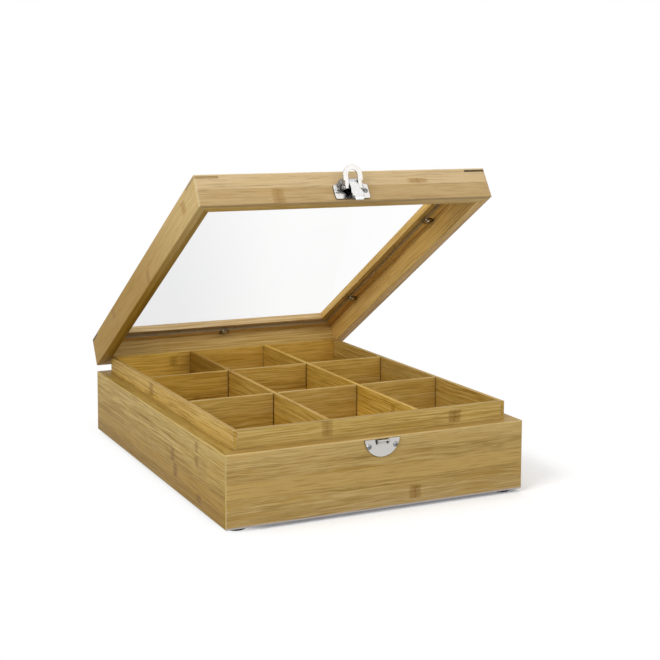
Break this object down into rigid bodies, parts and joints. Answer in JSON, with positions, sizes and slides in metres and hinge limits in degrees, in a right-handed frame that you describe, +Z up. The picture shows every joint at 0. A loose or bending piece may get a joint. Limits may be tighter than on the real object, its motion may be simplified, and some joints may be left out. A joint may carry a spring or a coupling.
{
  "type": "tea bag organizer box",
  "caption": "Low bamboo tea bag box with a raised liner, slotted dividers, a framed clear window in a half-open hinged lid, and an over-centre latch.",
  "frame": {"origin": "on the table, midway between the foremost and rearmost points of the box in its stored half-open pose, on the left-right middle line", "axes": "+X to the right seen from the front (the latch side), +Y to the back (the hinge side), +Z up"},
  "size_m": [0.225, 0.3036, 0.2312],
  "materials": {
    "bamboo": "lacquered strip bamboo, satin",
    "inner_bamboo": "lacquered thin bamboo board, satin, more golden than the outside",
    "key_wood": "dark brown carbonised bamboo",
    "clear_acrylic": "clear, polished",
    "plated_steel": "bright nickel plate",
    "rubber": "matt black"
  },
  "bodies": {
    "base": {"base_bottom_panel": "bamboo", "base_front_wall": "bamboo", "base_right_wall": "bamboo", "base_back_wall": "bamboo", "base_left_wall": "bamboo", "liner_front": "inner_bamboo", "liner_right": "inner_bamboo", "liner_back": "inner_bamboo", "liner_left": "inner_bamboo", "long_divider_left": "inner_bamboo", "long_divider_right": "inner_bamboo", "cross_divider_front": "inner_bamboo", "cross_divider_back": "inner_bamboo", "foot_front_left": "rubber", "foot_front_right": "rubber", "foot_back_left": "rubber", "foot_back_right": "rubber", "strike_plate": "plated_steel", "strike_screws": "plated_steel", "left_hinge_lower_leaf": "plated_steel", "right_hinge_lower_leaf": "plated_steel", "left_hinge_pin": "plated_steel", "right_hinge_pin": "plated_steel", "hinge_lower_screws": "plated_steel"},
    "lid": {"lid_front_rail": "bamboo", "lid_right_rail": "bamboo", "lid_back_rail": "bamboo", "lid_left_rail": "bamboo", "corner_key_front_left": "key_wood", "corner_key_front_right": "key_wood", "corner_key_back_left": "key_wood", "corner_key_back_right": "key_wood", "window_pane": "clear_acrylic", "pane_clip_front": "plated_steel", "pane_clip_right_front": "plated_steel", "pane_clip_right_back": "plated_steel", "pane_clip_back": "plated_steel", "pane_clip_left_back": "plated_steel", "pane_clip_left_front": "plated_steel", "pane_clip_screws": "plated_steel", "left_hinge_upper_leaf": "plated_steel", "right_hinge_upper_leaf": "plated_steel", "hinge_upper_screws": "plated_steel", "latch_plate": "plated_steel", "latch_plate_screws": "plated_steel", "latch_rivets": "plated_steel"},
    "latch_lever": {"latch_lever": "plated_steel", "latch_link_pin": "plated_steel"},
    "latch_link": {"latch_link": "plated_steel"}
  },
  "joints": [
    {"name": "lid_hinge", "type": "hinge", "parent": "base", "child": "lid", "pos_m": [0, 0.14681, 0.0525], "axis": [-1, 0, 0], "range_deg": [-31.5, 63.5]},
    {"name": "latch_lever_pivot", "type": "hinge", "parent": "lid", "child": "latch_lever", "pos_m": [0, -0.10362, 0.2157], "axis": [1, 0, 0], "range_deg": [-20, 50]},
    {"name": "latch_link_pivot", "type": "hinge", "parent": "latch_lever", "child": "latch_link", "pos_m": [0, -0.10233, 0.21952], "axis": [1, 0, 0], "range_deg": [-87.5, 35]}
  ],
  "couplings": [
    {"joint": "latch_link_pivot", "follows": "latch_lever_pivot", "ratio": -1.75}
  ]
}
